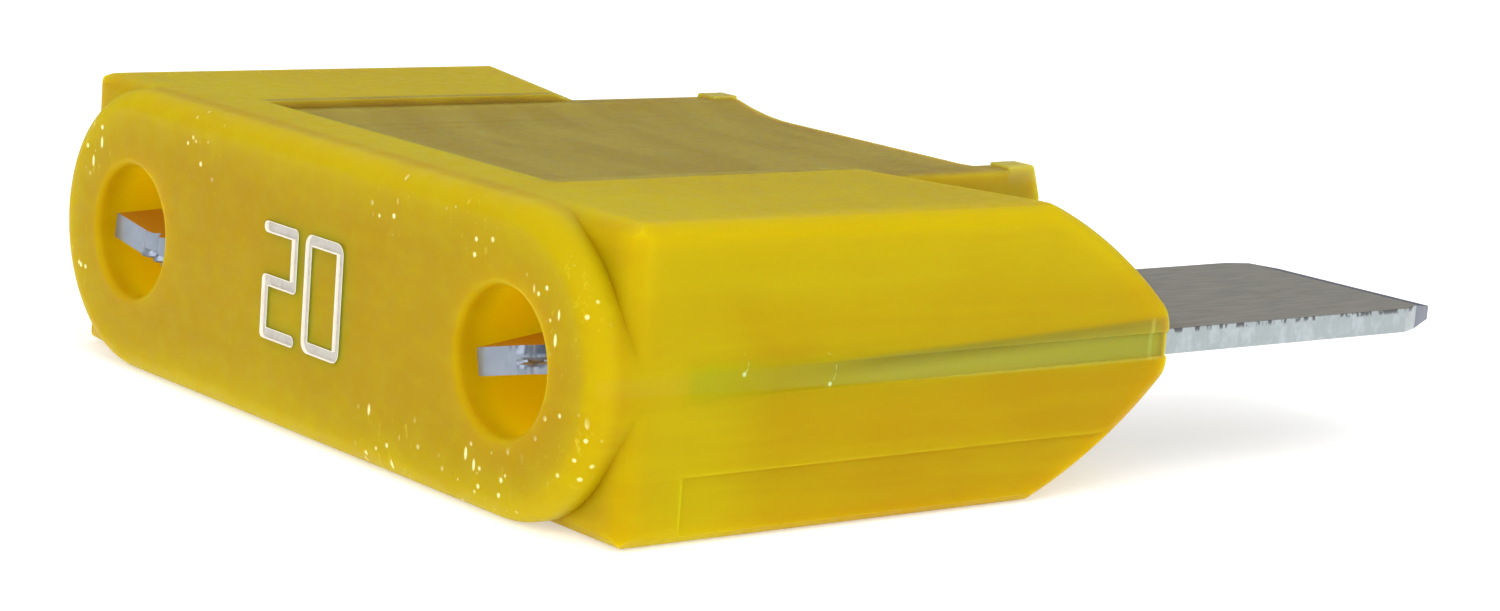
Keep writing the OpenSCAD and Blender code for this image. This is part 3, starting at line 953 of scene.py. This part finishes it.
def zinc():
    """Rolled zinc alloy: satin faces, bright sheared edges with fine marks."""
    p = Paint("zinc")
    where, _, y, z = p.place()
    roll = p.noise(where, 2.2, 3.0, 0.6, (3.0, 0.25, 1.0))
    mottle = p.noise(where, 0.7, 3.0, 0.6)
    flat = p.rise(abs(p.upward()), 0.7, 0.95)
    face = p.mix(colour(136, 134, 126), colour(152, 149, 140), p.rise(roll, 0.35, 0.7))
    face = p.mix(face, colour(120, 114, 100), p.rise(mottle, 0.55, 0.8) * 0.5)
    # next to the block's end the faces are painted darker and browner, a painted shadow
    # of the housing's nose
    root = 1 - p.rise(y, BLOCK_END - 1.5, BLOCK_END + 1.6)
    face = p.mix(face, colour(120, 104, 78), root * 0.5)
    edge = p.mix(colour(160, 169, 171), colour(176, 184, 188),
                 p.rise(p.noise(where, 2.0, 3.0, 0.6, (1, 1.4, 1)), 0.4, 0.7))
    shear = (p.rise(z, BLADE_T / 2 - 0.2, BLADE_T / 2 - 0.08)
             * p.rise(p.noise(where, 2.6, 2.0, 0.7, (1, 1.1, 0.4)), 0.5, 0.58))
    edge = p.mix(edge, colour(70, 70, 72), shear * 0.85)
    # the thinned lead-in is painted dark blue-grey all round, a painted reflection
    lead = p.rise(y, BLADE_END - LEAD_LEN - 0.03, BLADE_END - LEAD_LEN + 0.05)
    metal = p.mix(edge, face, flat)
    metal = p.mix(metal, colour(76, 80, 106), lead * 0.85)
    # inside the test holes the metal's colours are painted reflections: blue-grey on the
    # edges, the amber walls on the flat faces
    in_hole = 1 - p.rise(y, SHOULDER_Y - 0.1, SHOULDER_Y + 0.1)
    metal = p.mix(metal, colour(118, 130, 156), in_hole * (1 - flat) * 0.6)
    metal = p.mix(metal, colour(206, 150, 4), in_hole * flat * 0.85)
    p.set(Base_Color=metal, Metallic=p.mix_value(0.75, 0.6, flat),
          Roughness=p.mix_value(0.3, 0.5, flat),
          Normal=p.bump(roll + p.rise(mottle, 0.4, 0.6) * 0.5, 0.25, 0.00002))
    return p.material


def lining_paint():
    """Pale lining: cream walls, light grey floor; the walls are painted lighter than the
    floor, as painted light.
    """
    p = Paint("rating lining")
    where, _, y, _ = p.place()
    floor_y = FIGURE_DEPTH - LINING_GAP - LINING_T
    deep = p.rise(y, floor_y - 0.012, floor_y - 0.002)
    grain = p.noise(where, 5.0, 3.0, 0.6)
    # the walls are painted lighter than the floor, painted light on one foil
    painted_lit_wall = p.mix(colour(255, 250, 236), colour(252, 244, 226), p.rise(grain, 0.4, 0.7))
    flat = p.mix(colour(200, 196, 190), colour(186, 182, 176), p.rise(grain, 0.4, 0.7))
    p.set(Base_Color=p.mix(painted_lit_wall, flat, deep), Roughness=0.6,
          Normal=p.bump(grain, 0.2, 0.00001))
    return p.material


housing = make_housing()
place(housing, "housing_shell", nylon())
element = make_element()
place(element, "element_metal", zinc())
lining = make_lining()
place(lining, "rating_lining", lining_paint())

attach(housing, "root")
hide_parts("housing")
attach(element, "root")
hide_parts("fuse_element")
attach(lining, "root")


# ------------------------------------------------------------------- stage
def make_floor():
    """Plain pale floor under the fuse."""
    bm = bmesh.new()
    bmesh.ops.create_grid(bm, x_segments=1, y_segments=1, size=FLOOR_REACH)
    bmesh.ops.translate(bm, verts=bm.verts, vec=(0, 0, shell_low.z - FLOOR_GAP * MM))
    floor = finish_mesh(bm, "floor")
    p = Paint("floor paint")
    p.set(Base_Color=(0.9, 0.9, 0.9, 1), Roughness=0.9,
          Emission_Color=(1, 1, 1, 1), Emission_Strength=0.42)
    floor.data.materials.append(p.material)


def make_light(name, spot, aim, size, power, tint):
    """Soft square light at a spot, aimed at a point; both in metres."""
    lamp = bpy.data.lights.new(name, "AREA")
    lamp.shape = "SQUARE"
    lamp.size = size
    lamp.energy = power
    lamp.color = tint
    obj = bpy.data.objects.new(name, lamp)
    obj.location = spot
    obj.rotation_euler = (Vector(aim) - Vector(spot)).to_track_quat("-Z", "Y").to_euler()
    bpy.context.scene.collection.objects.link(obj)


LENS_RATIO = 2.398  # focal length over the frame's width


def make_camera():
    """Camera low at the right front corner, slightly rolled."""
    # turn, lift and roll in radians; the rest in millimetres from the aim
    turn, lift, roll = 0.8786, 0.1842, 0.0776
    distance, slide, drop = 112.9227, 3.8441, -1.0895
    aim = Vector((0, 12, 0))
    back = Vector((math.sin(turn) * math.cos(lift), -math.cos(turn) * math.cos(lift),
                   math.sin(lift)))
    right = Vector((0, 0, 1)).cross(back).normalized()
    up = back.cross(right)
    rolled_right = right * math.cos(roll) + up * math.sin(roll)
    rolled_up = up * math.cos(roll) - right * math.sin(roll)
    spot = aim + back * distance + rolled_right * slide + rolled_up * drop
    axes = Matrix((rolled_right, rolled_up, back)).transposed().to_4x4()
    lens = bpy.data.cameras.new("camera")
    lens.sensor_width = 36
    lens.lens = lens.sensor_width * LENS_RATIO
    lens.clip_start = 0.005
    camera = bpy.data.objects.new("camera", lens)
    camera.matrix_world = Matrix.Translation(TO_ROW @ spot) @ axes
    bpy.context.scene.collection.objects.link(camera)
    bpy.context.scene.camera = camera


def make_room():
    """Soft white room, dimmer towards the horizon."""
    world = bpy.data.worlds.new("soft room")
    world.use_nodes = True
    tree = world.node_tree
    background = tree.nodes["Background"]
    around = tree.nodes.new("ShaderNodeTexCoord")
    split = tree.nodes.new("ShaderNodeSeparateXYZ")
    ramp = tree.nodes.new("ShaderNodeMapRange")
    ramp.interpolation_type = "SMOOTHSTEP"
    tree.links.new(around.outputs["Generated"], split.inputs[0])
    tree.links.new(split.outputs["Z"], ramp.inputs[0])
    low_height, high_height, low_glow, high_glow = 0.1, 0.55, 0.16, 0.75
    for socket, value in zip(ramp.inputs[1:5],
                             (low_height, high_height, low_glow, high_glow)):
        socket.default_value = value
    tree.links.new(ramp.outputs[0], background.inputs["Color"])
    background.inputs["Strength"].default_value = 1.0
    bpy.context.scene.world = world


make_floor()
make_camera()
make_light("key", (0.18, -0.10, 0.30), (0, 0, 0), 0.25, 0.35, (1.0, 0.985, 0.96))
make_light("front", (0.10, -0.35, 0.16), (0, 0, 0), 0.25, 0.42, (1.0, 0.99, 0.98))
make_light("right", (0.35, -0.02, 0.10), (0, 0, 0), 0.2, 0.4, (1.0, 1.0, 1.0))
make_room()
bpy.context.scene.view_settings.view_transform = "Standard"
